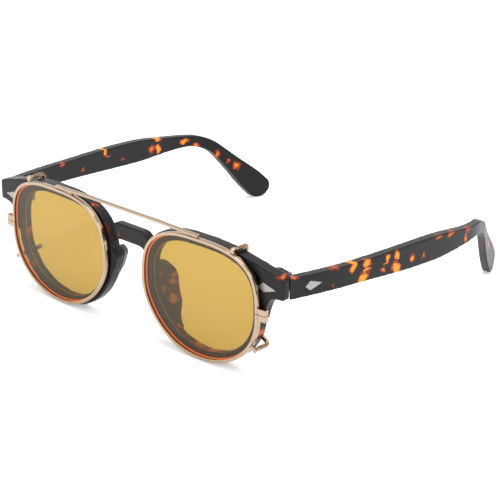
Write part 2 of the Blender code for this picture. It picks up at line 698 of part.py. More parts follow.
def clip_rim(name, side):
    """Metal eyewire with a groove inside, split where the closing block draws it shut."""
    depth = [0.0, WIRE_D / 2 - CLIP_LENS_T / 2 - FIT, WIRE_D / 2 + CLIP_LENS_T / 2 + FIT, WIRE_D]
    profile = [(0, depth[0]), (0, depth[3]), (-WIRE_W, depth[3]), (-WIRE_W, depth[2]),
               (-WIRE_W + WIRE_GROOVE, depth[2]), (-WIRE_W + WIRE_GROOVE, depth[1]),
               (-WIRE_W, depth[1]), (-WIRE_W, depth[0])]
    half_gap = SPLIT_GAP / 2 / CLIP_UP
    outline = pantos(*CLIP, BLOCK_ANGLE + half_gap,
                     2 * math.pi - 2 * half_gap, closed=False)
    return eyewire(name, outline, profile, on_front(side), GOLD, False)


def clip_lens(name, side):
    """Thin tinted lens held in the eyewire's groove."""
    inset = WIRE_W - WIRE_GROOVE + FIT
    edge = pantos(*CLIP, grow=-inset)
    middle = WIRE_D / 2
    return slab(name, edge, middle - CLIP_LENS_T / 2, middle + CLIP_LENS_T / 2, on_front(side), AMBER_LENS)


def block_frame():
    """Inner face, middle height and depth of the closing block."""
    here, _ = clip_point(BLOCK_ANGLE)
    inner = CLIP_CENTRE_X + CLIP_HALF_W + SKIN
    return inner, here.y, wrap(inner + BLOCK_W / 2)


def closing_block(name, side, upper):
    """Half of the barrel that joins the two ends of an eyewire."""
    inner, middle, back = block_frame()
    half = BLOCK_H / 2
    low, high = (middle + SPLIT_GAP / 2, middle + half) if upper else (middle - half, middle - SPLIT_GAP / 2)
    ends = sorted((side * inner, side * (inner + BLOCK_W)))
    block = box(name, (ends[0], back, low), (ends[1], back + BLOCK_D, high), GOLD)
    axis = (side * (inner + BLOCK_W / 2), back + BLOCK_D / 2)
    cut(block, post(f"{name} hole", axis, CLOSING_R + PIN_PLAY, low - 0.001, high + 0.001, GOLD))
    if upper:
        cut(block, post(f"{name} seat", axis, CLOSING_HEAD_R + SKIN, high - 0.0005, high + 0.001, GOLD))
    return block


def closing_screw(name, side):
    """Small screw that draws the closing block shut."""
    inner, middle, back = block_frame()
    axis = (side * (inner + BLOCK_W / 2), back + BLOCK_D / 2)
    top = middle + BLOCK_H / 2
    screw = post(name, axis, CLOSING_R, middle - BLOCK_H / 2 + 0.0001, top - 0.0003, GOLD)
    add(screw, post(f"{name} head", axis, CLOSING_HEAD_R, top - 0.0005 + SKIN, top + 0.0001, GOLD))
    return screw


def bar_line():
    """Middle line of the bridge bar's half, as (out, height)."""
    seat = CLIP_TOP + BAR_SEAT + BAR_T / 2
    return [(BAR_END, seat), (BAR_KINK, seat + BAR_RISE), (0.0, seat + BAR_RISE)]


def bridge_bar(name):
    """Flat bar of three straight runs that joins the two eyewires."""
    half = bar_line()
    top = [(u, v + BAR_T / 2) for u, v in half]
    bottom = [(u, v - BAR_T / 2) for u, v in half]
    outline = top + [(-u, v) for u, v in top[:-1]][::-1] + [(-u, v) for u, v in bottom[:-1]] + bottom[::-1]
    back = WIRE_D / 2
    return slab(name, outline, back - BAR_D / 2, back + BAR_D / 2, on_front(), GOLD)


def bar_foot(name, side):
    """Brazed foot that fills the wedge between the bar and the top of an eyewire."""
    end, kink, _ = bar_line()
    rim = [(u, v) for u, v in pantos(*CLIP) if v > WIDEST_Z]
    rim.sort()
    us = [p[0] for p in rim]
    vs = [p[1] for p in rim]
    below = []
    above = []
    for i in range(5):
        u = FOOT_IN + (FOOT_OUT - FOOT_IN) * i / 4
        share = (end[0] - u) / (end[0] - kink[0])
        below.append((u, float(np.interp(u, us, vs)) + 2 * SKIN))
        above.append((u, end[1] + (kink[1] - end[1]) * share - BAR_T / 2 - SKIN))
    back = WIRE_D / 2
    return slab(name, below + above[::-1], back - FOOT_D / 2, back + FOOT_D / 2, on_front(side), GOLD)


def prong_corners(side, which, start, end_in):
    """Corner points of a prong: out from the eyewire, back past the front, and in behind it."""
    angle, stand, hook = PRONGS[which]
    here, out = clip_point(angle)

    def point(r, d):
        flat = here + out * r
        return (side * flat.x, d + wrap(here.x), flat.y)

    return [point(start, PRONG_Y), point(stand, PRONG_Y), point(stand, PRONG_BACK), point(-hook + end_in, PRONG_BACK)]


def prong(name, side, which):
    """Spring wire that hooks behind the acetate."""
    corners = prong_corners(side, which, SEAT_SIZE * 0.5, 0.0)
    first = Vector(corners[1]) + Vector((0, SEAT_SIZE / 2 + SKIN * 2, 0))
    return tube(name, rounded_path([tuple(first)] + corners[2:], PRONG_CORNER), PRONG_R, GOLD)


def prong_sleeve(name, side, which):
    """Clear sleeve that keeps a prong from marking the acetate."""
    corners = prong_corners(side, which, 0.0, 0.0004)
    first = Vector(corners[1]) + Vector((0, SEAT_SIZE / 2 + 0.0011, 0))
    return tube(name, rounded_path([tuple(first)] + corners[2:], PRONG_CORNER), SLEEVE_R, SLEEVE,
                bore=PRONG_R + SLEEVE_PLAY)


def prong_seat(name, side, which):
    """Small block brazed to the outside of the eyewire, at a prong's root."""
    angle, stand, _ = PRONGS[which]
    here, out = clip_point(angle)
    across = Vector((-out.y, out.x))
    half = SEAT_SIZE / 2
    inner = 0.00012
    corners = [here + out * inner - across * half, here + out * (stand + half) - across * half,
               here + out * (stand + half) + across * half, here + out * inner + across * half]
    back = wrap(here.x)
    mesh = bmesh.new()
    rings = [[mesh.verts.new((side * c.x, y + back, c.y)) for c in corners] for y in (PRONG_Y - half, PRONG_Y + half)]
    join_rings(mesh, rings, False)
    return finish_mesh(name, mesh, GOLD)


# ---- Assembly ----
def empty(name, place, parent=None):
    holder = bpy.data.objects.new(name, None)
    holder.empty_display_size = 0.01
    bpy.context.scene.collection.objects.link(holder)
    holder.location = place
    if parent:
        holder.parent = parent
    return holder


def attach(obj, holder, at=(0.0, 0.0, 0.0)):
    """Parents a piece whose mesh is drawn in the assembly's frame to a holder that stands at the given place."""
    obj.parent = holder
    obj.location = [-c for c in at]


def assemble():
    root = empty("glasses", (0, 0, 0))
    fixed = [acetate_front()]
    for name, side in SIDES:
        fixed += [demo_lens(f"demo_lens_{name}", side), nose_pad(f"nose_pad_{name}", side),
                  front_leaf(f"hinge_front_leaf_{name}", side), hinge_screw(f"hinge_screw_{name}", side),
                  front_rivet(f"front_rivet_{name}", side)]
        axis = (side * pin_axis().x, pin_axis().y, LEAF_Z)
        swing = empty(f"temple_axis_{name}", axis, root)
        for piece in (temple(f"temple_{name}", side), core_wire(f"core_wire_{name}", side),
                      temple_leaf(f"hinge_temple_leaf_{name}", side), temple_rivet(f"temple_rivet_{name}", side)):
            attach(piece, swing, axis)
    for piece in fixed:
        attach(piece, root)
    slide = empty("clip_slide", (0, 0, 0), root)
    clip = [bridge_bar("clip_bridge_bar")]
    for name, side in SIDES:
        clip += [clip_rim(f"clip_rim_{name}", side), clip_lens(f"clip_lens_{name}", side),
                 bar_foot(f"clip_bar_foot_{name}", side), closing_screw(f"closing_screw_{name}", side),
                 closing_block(f"closing_block_upper_{name}", side, True),
                 closing_block(f"closing_block_lower_{name}", side, False)]
        for which in PRONGS:
            clip += [prong_seat(f"prong_seat_{which}_{name}", side, which),
                     prong(f"prong_{which}_{name}", side, which),
                     prong_sleeve(f"prong_sleeve_{which}_{name}", side, which)]
    for piece in clip:
        attach(piece, slide)
    for helper in helpers:
        if helper.parent is None:
            attach(helper, root)
    return root


def centre_front_to_back(root):
    """Moves the whole so that the origin lies under the middle of its box."""
    bpy.context.view_layer.update()
    graph = bpy.context.evaluated_depsgraph_get()
    depths = []
    for obj in bpy.context.scene.objects:
        if obj.type == "MESH" and not obj.hide_render:
            done = obj.evaluated_get(graph)
            depths += [(done.matrix_world @ Vector(c)).y for c in done.bound_box]
    root.location.y = -(min(depths) + max(depths)) / 2


helpers = []
for old in list(bpy.data.objects):
    bpy.data.objects.remove(old)
centre_front_to_back(assemble())
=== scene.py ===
"""Looks of the acetate eyeglasses and their metal clip-on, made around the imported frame."""
import math

import bmesh
import bpy
import numpy as np
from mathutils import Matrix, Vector


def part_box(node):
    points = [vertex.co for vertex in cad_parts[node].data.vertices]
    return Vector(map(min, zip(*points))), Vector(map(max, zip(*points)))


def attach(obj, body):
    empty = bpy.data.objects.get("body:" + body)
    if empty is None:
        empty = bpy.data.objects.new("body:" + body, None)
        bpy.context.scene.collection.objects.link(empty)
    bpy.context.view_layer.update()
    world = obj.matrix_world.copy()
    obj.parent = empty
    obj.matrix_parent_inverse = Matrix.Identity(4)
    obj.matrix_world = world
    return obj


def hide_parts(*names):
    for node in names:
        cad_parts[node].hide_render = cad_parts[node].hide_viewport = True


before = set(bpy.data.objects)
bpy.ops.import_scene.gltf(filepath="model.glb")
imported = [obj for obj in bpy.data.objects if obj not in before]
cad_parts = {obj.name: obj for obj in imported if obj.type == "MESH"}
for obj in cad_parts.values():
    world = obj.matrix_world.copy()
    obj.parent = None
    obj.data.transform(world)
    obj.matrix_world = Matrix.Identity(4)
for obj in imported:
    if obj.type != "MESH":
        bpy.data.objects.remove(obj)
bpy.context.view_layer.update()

MM = 0.001
SIDES = (("left", 1), ("right", -1))

# ---- Sizes, in millimetres, as the frame has them ----
WRAP_R = 1136.0
FRONT_Y = 2.2
BACK_Y = 6.3
END_BACK = 8.8
RIM = ((34.3, 24.0), (26.3, 19.6, 24.2))
EYE = ((34.75, 24.0), (23.05, 16.2, 21.4))
CLIP = ((35.35, 24.0), (26.2, 19.8, 23.75))
GROOVE_DEPTH = 0.7
HALF_FRONT = 70.6
SEAM_Y = 6.9
MITRE = math.radians(49.0)
TEMPLE_T = 3.6
END_TOP = 37.8
END_LOW = 30.4
SHOULDER_Z = 25.6
NOSE_HALF = 6.4
PAD_LOW = 4.6
PAD_FOOT = 0.16
PAD_RAMP = 10.5
PAD_DEPTH = 4.2
PAD_SPLAY = 0.5
PAD_SPREAD = 3.0
PAD_WIDTH = 4.0
SPLAY = [(-10, 68.2), (7, 70.6), (20, 73.1), (35, 75.0), (65, 76.9), (95, 76.3), (110, 72.0), (123, 65.6),
         (140, 58.5)]  # (back, outer face's distance from the middle) along a temple
TEMPLE_WIDTHS = [(0.0, 7.4), (0.30, 7.5), (0.60, 8.8), (0.76, 8.4), (0.90, 6.0), (1.0, 4.6)]
TIP_WIDTHS = [(0.0, 4.7), (0.35, 6.3), (0.75, 8.8)]
TEMPLE_STRAIGHT = 95.8
PITCH = math.radians(3.1)
BEND_R = 19.0
BEND = math.radians(45.0)
TIP_R = 4.8
KITE_L = 7.3
TEMPLE_KITE_L = 6.7
KITE_H = 3.3
KITE_Z = 33.3
WIRE_D = 1.8
CLEAR_LENS = (3.50, 5.00)  # depths of the front and back faces
TINTED_LENS = (0.5, 1.3)
SPRING_R = 0.65
SLEEVE_R = 0.95
BAR_H = 1.0
BAR_D = 1.4
# The bar's front face is 0.2 mm behind the clip's front plane, which is where depths are counted from.
DEPTH_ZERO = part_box("clip_bridge_bar")[0].y / MM - 0.2


# ---- Shapes ----
def wrap(x):
    return x * x / (2 * WRAP_R)


def on_front(side=1):
    """(out, height, depth) in millimetres to a place on the wrapped front."""
    return lambda u, v, w: (side * u * MM, (w + wrap(u) + DEPTH_ZERO) * MM, v * MM)


def spline(points, steps):
    pts = [Vector(p) for p in points]
    pts = [pts[0] * 2 - pts[1]] + pts + [pts[-1] * 2 - pts[-2]]
    out = []
    for a, b, c, d in zip(pts, pts[1:], pts[2:], pts[3:]):
        for i in range(steps):
            t = i / steps
            out.append(0.5 * (2 * b + (c - a) * t + (2 * a - 5 * b + 4 * c - d) * t * t
                              + (3 * b - a - 3 * c + d) * t ** 3))
    return [tuple(p) for p in out] + [tuple(pts[-2])]


OUTER = np.array(spline(SPLAY, 20))


def on_temple(side):
    """(back, height, depth in from the outer face) to a place on a temple."""
    return lambda u, v, w: (side * (float(np.interp(u, OUTER[:, 0], OUTER[:, 1])) - w) * MM,
                            (u + DEPTH_ZERO) * MM, v * MM)


def eye_shape(centre, half, count=240, start=0.0, turn=2 * math.pi, grow=0.0, closed=True):
    """Squarish above, round below, and fuller on its outer side."""
    points = []
    for i in range(count if closed else count + 1):
        a = start + turn * i / count
        above = 0.5 + 0.5 * math.tanh(3 * math.sin(a)) / math.tanh(3)
        power = (2.05 + 0.78 * above) * (1 + 0.07 * math.cos(a))
        reach = (abs(math.cos(a)) ** power + abs(math.sin(a)) ** power) ** (-1 / power)
        tall = half[1] if math.sin(a) > 0 else half[2]
        points.append((centre[0] + (half[0] + grow) * reach * math.cos(a),
                       centre[1] + (tall + grow) * reach * math.sin(a)))
    return points


def outward(mesh):
    bmesh.ops.recalc_face_normals(mesh, faces=mesh.faces)
    if mesh.calc_volume(signed=True) < 0:
        bmesh.ops.reverse_faces(mesh, faces=mesh.faces)


def piece(name, mesh, material=None, sharp=40):
    """An object of this mesh, shaded smooth but for its sharp edges."""
    outward(mesh)
    data = bpy.data.meshes.new(name)
    mesh.to_mesh(data)
    mesh.free()
    data.shade_smooth()
    data.set_sharp_from_angle(angle=math.radians(sharp))
    obj = bpy.data.objects.new(name, data)
    bpy.context.scene.collection.objects.link(obj)
    if material:
        data.materials.append(material)
    return obj


def add_slab(mesh, outline, low, high, place, strip=2.0):
    """A closed plate between two depths, cut in strips so that it can follow a curve."""
    part = bmesh.new()
    face = part.faces.new([part.verts.new((u, v, low)) for u, v in outline])
    raised = bmesh.ops.extrude_face_region(part, geom=[face])["geom"]
    far_side = [g for g in raised if isinstance(g, bmesh.types.BMVert)]
    bmesh.ops.translate(part, vec=(0, 0, high - low), verts=far_side)
    left = min(u for u, _ in outline)
    right = max(u for u, _ in outline)
    for k in range(math.floor(left / strip) + 1, math.ceil(right / strip)):
        geom = part.verts[:] + part.edges[:] + part.faces[:]
        bmesh.ops.bisect_plane(part, geom=geom, dist=1e-5, plane_co=(k * strip, 0, 0), plane_no=(1, 0, 0))
    bmesh.ops.triangulate(part, faces=part.faces)
    for vert in part.verts:
        vert.co = place(*vert.co)
    outward(part)
    merge_into(mesh, part)


def merge_into(mesh, part):
    made = {v: mesh.verts.new(v.co) for v in part.verts}
    for face in part.faces:
        mesh.faces.new([made[v] for v in face.verts])
    part.free()


def slab(name, outline, low, high, place, material, strip=2.0):
    mesh = bmesh.new()
    add_slab(mesh, outline, low, high, place, strip)
    return piece(name, mesh, material)


def add_ring(mesh, inner, outer, low, high, place):
    """A band between two eye shapes."""
    part = bmesh.new()
    rings = [[part.verts.new(place(*p)) for p in ((*a, low), (*b, low), (*b, high), (*a, high))]
             for a, b in zip(inner, outer)]
    for first, second in zip(rings, rings[1:] + rings[:1]):
        for i in range(4):
            j = (i + 1) % 4
            part.faces.new((first[i], first[j], second[j], second[i]))
    outward(part)
    merge_into(mesh, part)


def cut_away(mesh, point, normal):
    """Removes what lies on the normal's side of a plane, and closes the cut."""
    geom = mesh.verts[:] + mesh.edges[:] + mesh.faces[:]
    cut = bmesh.ops.bisect_plane(mesh, geom=geom, dist=1e-7, plane_co=point, plane_no=normal,
                                 clear_outer=True)
    edges = [g for g in cut["geom_cut"] if isinstance(g, bmesh.types.BMEdge)]
    bmesh.ops.edgenet_fill(mesh, edges=edges)
    bmesh.ops.triangulate(mesh, faces=mesh.faces)


def finished(obj):
    """The object with its modifiers made real."""
    graph = bpy.context.evaluated_depsgraph_get()
    data = bpy.data.meshes.new_from_object(obj.evaluated_get(graph), depsgraph=graph)
    old = obj.data
    name = obj.name
    bpy.data.objects.remove(obj)
    if isinstance(old, bpy.types.Mesh):
        bpy.data.meshes.remove(old)
    new = bpy.data.objects.new(name, data)
    bpy.context.scene.collection.objects.link(new)
    return new


def tumbled(name, mesh, grain, passes, material):
    """Joins overlapping shapes into one skin and rounds its edges, as tumbling rounds cut acetate."""
    obj = piece(name, mesh)
    remesh = obj.modifiers.new("skin", "REMESH")
    remesh.mode = "VOXEL"
    remesh.voxel_size = grain * MM
    smooth = obj.modifiers.new("tumble", "SMOOTH")
    smooth.factor = 0.5
    smooth.iterations = passes
    obj = finished(obj)
    obj.data.shade_smooth()
    obj.data.materials.clear()
    obj.data.materials.append(material)
    return obj


# ---- Materials ----
def linear(hex_colour, alpha=1.0):
    """An sRGB hex colour as linear red, green, blue and alpha."""
    values = [int(hex_colour[i:i + 2], 16) / 255 for i in (0, 2, 4)]
    return [v / 12.92 if v <= 0.04045 else ((v + 0.055) / 1.055) ** 2.4 for v in values] + [alpha]


def add_node(tree, kind, links=None, values=None, **settings):
    """A node with its settings, socket values and links, as {socket: output of another node}."""
    node = tree.nodes.new(kind)
    for key, value in settings.items():
        setattr(node, key, value)
    for key, value in (values or {}).items():
        node.inputs[key].default_value = value
    for key, value in (links or {}).items():
        tree.links.new(value, node.inputs[key])
    return node


def new_material(name):
    material = bpy.data.materials.new(name)
    material.use_nodes = True
    material.node_tree.nodes.clear()
    return material, material.node_tree


def show(tree, shader):
    add_node(tree, "ShaderNodeOutputMaterial", {"Surface": shader})


def colour_stops(ramp, stops):
    """Sets a colour ramp to (position, hex colour) stops."""
    elements = ramp.color_ramp.elements
    while len(elements) < len(stops):
        elements.new(0.5)
    for element, (position, colour) in zip(elements, stops):
        element.position = position
        element.color = linear(colour)


def tortoise_acetate(name, patches, line=None, loose=0.0):
    """Sheet cellulose acetate, tumble-polished: near black with amber windows that fade through red-brown.

    patches are (centre, half sizes, tilt in degrees about X, warmth from 0 to 1) in millimetres. line is the
    (height, fall per millimetre back) of the thin seam in the sheet that crosses the windows. loose is how
    warm the few unplanned flecks get.
    """
    material, tree = new_material(name)
    place = add_node(tree, "ShaderNodeTexCoord").outputs["Object"]
    # 3 mm waves with finer tatters on them, 1 mm either way, make the torn edges of the windows.
    waves = add_node(tree, "ShaderNodeTexNoise", {"Vector": place},
                     {"Scale": 330.0, "Detail": 4.0, "Roughness": 0.62})
    centred = add_node(tree, "ShaderNodeVectorMath", {0: waves.outputs["Color"]}, {1: (0.5, 0.5, 0.5)},
                       operation="SUBTRACT")
    reach = add_node(tree, "ShaderNodeVectorMath", {0: centred.outputs[0]}, {"Scale": 4.2 * MM},
                     operation="SCALE")
    torn = add_node(tree, "ShaderNodeVectorMath", {0: place, 1: reach.outputs[0]}, operation="ADD").outputs[0]
    flecks = add_node(tree, "ShaderNodeTexNoise", {"Vector": torn}, {"Scale": 95.0, "Detail": 2.0})
    warmth = add_node(tree, "ShaderNodeMapRange", {"Value": flecks.outputs["Fac"]},
                      {"From Min": 0.66, "From Max": 0.80, "To Max": loose}).outputs[0]
    for centre, half, tilt, heat in patches:
        spot = (centre[0] * MM, (centre[1] + DEPTH_ZERO) * MM, centre[2] * MM)
        local = add_node(tree, "ShaderNodeMapping", {"Vector": torn},
                         {"Location": spot, "Rotation": (math.radians(tilt), 0, 0),
                          "Scale": [h * MM for h in half]}, vector_type="TEXTURE")
        away = add_node(tree, "ShaderNodeVectorMath", {0: local.outputs[0]}, operation="LENGTH")
        near = add_node(tree, "ShaderNodeMath", {0: away.outputs["Value"]}, {1: -heat * 1.6, 2: heat * 1.6},
                        operation="MULTIPLY_ADD")
        warmest = add_node(tree, "ShaderNodeMath", {0: warmth, 1: near.outputs[0]}, operation="MAXIMUM")
        warmth = warmest.outputs[0]
    if line:
        axes = add_node(tree, "ShaderNodeSeparateXYZ", {0: place}).outputs
        level = add_node(tree, "ShaderNodeMath", {0: axes["Y"], 2: axes["Z"]}, {1: line[1]},
                         operation="MULTIPLY_ADD")
        above = add_node(tree, "ShaderNodeMath", {0: level.outputs[0]},
                         {1: (line[0] + line[1] * DEPTH_ZERO) * MM}, operation="SUBTRACT")
        off = add_node(tree, "ShaderNodeMath", {0: above.outputs[0]}, operation="ABSOLUTE").outputs[0]
        clear = add_node(tree, "ShaderNodeMapRange", {"Value": off},
                         {"From Min": 0.40 * MM, "From Max": 0.55 * MM})
        thread = add_node(tree, "ShaderNodeMapRange", {"Value": off},
                          {"From Min": 0.26 * MM, "From Max": 0.12 * MM, "To Max": 0.9})
        kept = add_node(tree, "ShaderNodeMath", {0: clear.outputs[0], 1: thread.outputs[0]},
                        operation="MAXIMUM")
        seamed = add_node(tree, "ShaderNodeMath", {0: warmth, 1: kept.outputs[0]}, operation="MULTIPLY")
        warmth = seamed.outputs[0]
    ramp = add_node(tree, "ShaderNodeValToRGB", {"Fac": warmth})
    colour_stops(ramp, [(0.0, "0C0A0B"), (0.10, "1E0B08"), (0.28, "7E2409"), (0.48, "C4560E"),
                        (0.70, "E48F1C")])
    haze = add_node(tree, "ShaderNodeTexNoise", {"Vector": place}, {"Scale": 1500.0, "Detail": 2.0})
    gloss = add_node(tree, "ShaderNodeMapRange", {"Value": haze.outputs["Fac"]},
                     {"To Min": 0.30, "To Max": 0.40})
    bump = add_node(tree, "ShaderNodeBump", {"Height": flecks.outputs["Fac"]},
                    {"Strength": 0.04, "Distance": 0.0004})
    shader = add_node(tree, "ShaderNodeBsdfPrincipled",
                      {"Base Color": ramp.outputs["Color"], "Roughness": gloss.outputs[0],
                       "Normal": bump.outputs["Normal"]},
                      {"IOR": 1.48, "Specular IOR Level": 0.24, "Coat Weight": 0.06, "Coat Roughness": 0.12})
    show(tree, shader.outputs[0])
    return material


def worked_metal(name, colour, low, high, grain=4000.0):
    """Metal with a faint unevenness in its polish. grain is in waves per metre."""
    material, tree = new_material(name)
    place = add_node(tree, "ShaderNodeTexCoord").outputs["Object"]
    noise = add_node(tree, "ShaderNodeTexNoise", {"Vector": place}, {"Scale": grain, "Detail": 3.0})
    gloss = add_node(tree, "ShaderNodeMapRange", {"Value": noise.outputs["Fac"]},
                     {"To Min": low, "To Max": high})
    tone = add_node(tree, "ShaderNodeMixRGB", {"Fac": noise.outputs["Fac"]},
                    {"Color1": linear(colour[0]), "Color2": linear(colour[1])})
    shader = add_node(tree, "ShaderNodeBsdfPrincipled",
                      {"Base Color": tone.outputs[0], "Roughness": gloss.outputs[0]}, {"Metallic": 1.0})
    show(tree, shader.outputs[0])
    return material


def clear_sheet(name, tints, mirror, rough):
    """Thin see-through plastic: it tints what is behind it and mirrors a little by angle."""
    material, tree = new_material(name)
    place = add_node(tree, "ShaderNodeTexCoord").outputs["Object"]
    drift = add_node(tree, "ShaderNodeTexNoise", {"Vector": place}, {"Scale": 40.0, "Detail": 1.0})
    tint = add_node(tree, "ShaderNodeMixRGB", {"Fac": drift.outputs["Fac"]},
                    {"Color1": linear(tints[0]), "Color2": linear(tints[1])})
    through = add_node(tree, "ShaderNodeBsdfTransparent", {"Color": tint.outputs[0]})
    shine = add_node(tree, "ShaderNodeBsdfGlossy", values={"Roughness": rough})
    # The index is turned over on the far face, so that both faces mirror alike and nothing is trapped inside.
    back = add_node(tree, "ShaderNodeNewGeometry").outputs["Backfacing"]
    way = add_node(tree, "ShaderNodeMath", {0: back}, {1: -2.0, 2: 1.0}, operation="MULTIPLY_ADD")
    index = add_node(tree, "ShaderNodeMath", {1: way.outputs[0]}, {0: mirror}, operation="POWER")
    share = add_node(tree, "ShaderNodeFresnel", {"IOR": index.outputs[0]})
    both = add_node(tree, "ShaderNodeMixShader",
                    {0: share.outputs[0], 1: through.outputs[0], 2: shine.outputs[0]})
    show(tree, both.outputs[0])
    return material


def glowing_ground_edge(name, low, high, painted_glow):
    """Frosted edge of a lens, with a painted glow: the last argument is how strongly its emission paints a
    bright line on it, in place of the light the edge catches.
    """
    material, tree = new_material(name)
    place = add_node(tree, "ShaderNodeTexCoord").outputs["Object"]
    grit = add_node(tree, "ShaderNodeTexNoise", {"Vector": place}, {"Scale": 900.0, "Detail": 2.0})
    tone = add_node(tree, "ShaderNodeMixRGB", {"Fac": grit.outputs["Fac"]},
                    {"Color1": linear(low), "Color2": linear(high)})
    matt = add_node(tree, "ShaderNodeBsdfDiffuse", {"Color": tone.outputs[0]})
    lit = add_node(tree, "ShaderNodeBsdfTranslucent", {"Color": tone.outputs[0]})
    both = add_node(tree, "ShaderNodeMixShader", {1: matt.outputs[0], 2: lit.outputs[0]}, {"Fac": 0.4})
    # Painted glow: an emission that makes the edge shine as a fine bright line, standing in for its
    # highlight.
    glow = add_node(tree, "ShaderNodeEmission", {"Color": tone.outputs[0]}, {"Strength": painted_glow})
    edge = add_node(tree, "ShaderNodeAddShader", {0: both.outputs[0], 1: glow.outputs[0]})
    show(tree, edge.outputs[0])
    return material


ACROSS = 60.0  # a window reaches through the whole thickness of its piece
NEAR_WINDOWS = [
    ((73, 33.9, 35.6), (ACROSS, 1.7, 3.2), -28, 1.0), ((73, 40.2, 34.2), (ACROSS, 2.2, 1.9), 0, 0.75),
    ((73, 38.2, 29.6), (ACROSS, 3.2, 2.6), 20, 1.0), ((73, 39.8, 31.8), (ACROSS, 3.0, 1.0), 0, 0.8),
    ((73, 50.0, 33.6), (ACROSS, 1.3, 2.1), 0, 0.7), ((73, 47.8, 29.6), (ACROSS, 0.9, 2.4), 50, 0.45),
    ((73, 49.3, 31.9), (ACROSS, 1.9, 0.8), 0, 0.9), ((73, 54.5, 33.2), (ACROSS, 1.1, 2.7), 0, 0.85),
    ((73, 54.0, 28.7), (ACROSS, 2.5, 3.2), 18, 1.0), ((73, 62.6, 30.2), (ACROSS, 1.6, 2.1), 0, 0.62),
    ((73, 68.6, 29.3), (ACROSS, 0.7, 1.7), 0, 0.35), ((73, 77.0, 33.6), (ACROSS, 2.2, 1.0), 0, 0.38),
    ((73, 84.0, 32.9), (ACROSS, 3.4, 1.0), 8, 0.40), ((73, 93.5, 28.6), (ACROSS, 1.3, 3.0), 20, 0.42),
    ((73, 95.0, 31.0), (ACROSS, 3.6, 1.2), 0, 0.40), ((73, 24.5, 31.2), (ACROSS, 0.8, 0.8), 0, 0.32),
    ((73, 9.0, 37.2), (ACROSS, 3.0, 0.8), 0, 0.36), ((73, 27.0, 36.6), (ACROSS, 5.0, 0.7), 0, 0.30),
    ((66, 124.0, 14.0), (ACROSS, 2.0, 3.0), 0, 0.38)]
FAR_WINDOWS = [
    ((-73, 87.6, 33.8), (ACROSS, 2.9, 2.6), 0, 1.0), ((-73, 87.2, 28.7), (ACROSS, 2.0, 2.6), 0, 0.95),
    ((-73, 83.8, 29.4), (ACROSS, 2.6, 2.6), 0, 0.40), ((-73, 58.4, 34.8), (ACROSS, 1.2, 2.7), 0, 0.75),
    ((-73, 60.0, 32.3), (ACROSS, 2.6, 0.8), 0, 0.55), ((-70, 100.5, 29.0), (ACROSS, 2.9, 1.5), 0, 0.68),
    ((-70, 106.0, 26.6), (ACROSS, 2.0, 1.2), 0, 0.50), ((-68, 114.5, 21.6), (ACROSS, 1.5, 2.7), 20, 0.48),
    ((-66, 118.6, 18.0), (ACROSS, 1.2, 1.6), 0, 0.36), ((-66, 122.0, 15.6), (ACROSS, 1.7, 2.6), 20, 0.52),
    ((-73, 35.0, 35.4), (ACROSS, 1.8, 1.2), 0, 0.38), ((-73, 46.0, 30.6), (ACROSS, 1.4, 1.4), 0, 0.36),
    ((-73, 68.0, 29.0), (ACROSS, 2.0, 1.0), 0, 0.28)]
FRONT_WINDOWS = [
    ((-16.2, 4.0, 42.6), (3.4, 5.0, 1.7), 0, 0.85), ((-5.5, 5.0, 33.8), (1.2, 5.0, 2.0), 0, 0.30),
    ((31.3, 2.6, 42.2), (1.6, 3.0, 0.9), 0, 0.50), ((37.9, 2.6, 41.4), (1.6, 3.0, 0.9), 0, 0.45),
    ((45.8, 2.6, 40.6), (2.2, 3.0, 1.2), 0, 0.70), ((68.4, 6.0, 37.9), (2.2, 3.4, 1.0), 0, 0.42),
    ((20.8, 5.8, 5.6), (1.8, 3.0, 1.8), 0, 0.75), ((24.8, 5.8, 3.2), (2.2, 3.0, 1.6), 0, 0.60),
    ((31.4, 5.6, 2.0), (4.2, 3.0, 1.3), 0, 0.75), ((38.4, 5.6, 2.4), (3.4, 3.0, 1.6), 0, 0.95),
    ((45.5, 5.0, 3.0), (2.0, 4.0, 1.6), 0, 0.45), ((9.0, 3.6, 16.0), (1.2, 3.0, 3.0), 0, 0.35),
    ((-56.0, 2.4, 9.0), (2.0, 3.0, 2.2), 0, 1.0), ((-52.2, 2.4, 9.2), (2.6, 3.0, 1.2), 0, 0.70),
    ((-51.0, 5.6, 5.6), (2.0, 3.0, 1.2), 0, 0.55), ((-57.5, 5.6, 20.5), (2.0, 3.0, 2.4), 0, 0.45),
    ((-30.0, 5.0, 1.4), (4.0, 5.0, 2.0), 0, 0.40), ((59.5, 6.0, 16.0), (2.0, 4.0, 3.0), 0, 0.35)]
PAD_WINDOWS = [((16.2, 8.6, 22.7), (1.6, 3.0, 1.6), 0, 0.95), ((15.6, 8.6, 20.2), (1.5, 3.0, 1.5), 0, 0.80),
               ((16.0, 8.6, 14.4), (1.7, 3.0, 2.4), 0, 1.0), ((12.6, 7.6, 17.2), (1.8, 3.0, 2.4), 0, 0.55),
               ((17.6, 9.2, 18.2), (1.6, 3.0, 4.6), 0, 0.42), ((11.4, 7.2, 23.0), (1.6, 3.0, 2.2), 0, 0.40),
               ((-13.2, 8.6, 17.0), (1.4, 2.0, 2.4), 0, 0.55)]
# Tumble-polished acetate: a soft satin shine over a black that turns amber where the light gets in.
front_acetate = tortoise_acetate("tortoise cellulose acetate, front", FRONT_WINDOWS, loose=0.34)
pad_acetate = tortoise_acetate("tortoise cellulose acetate, pads", PAD_WINDOWS, loose=0.34)
temple_acetate = {
    1: tortoise_acetate("tortoise cellulose acetate, left temple", NEAR_WINDOWS, (31.85, 0.010), 0.25),
    -1: tortoise_acetate("tortoise cellulose acetate, right temple", FAR_WINDOWS, (34.2, 0.033), 0.25)}
# Gold-plated nickel alloy: pale, pinkish and bright, with the even shine of plating.
plated_gold = worked_metal("gold plated nickel alloy", ("AD9782", "BAA590"), 0.08, 0.14)
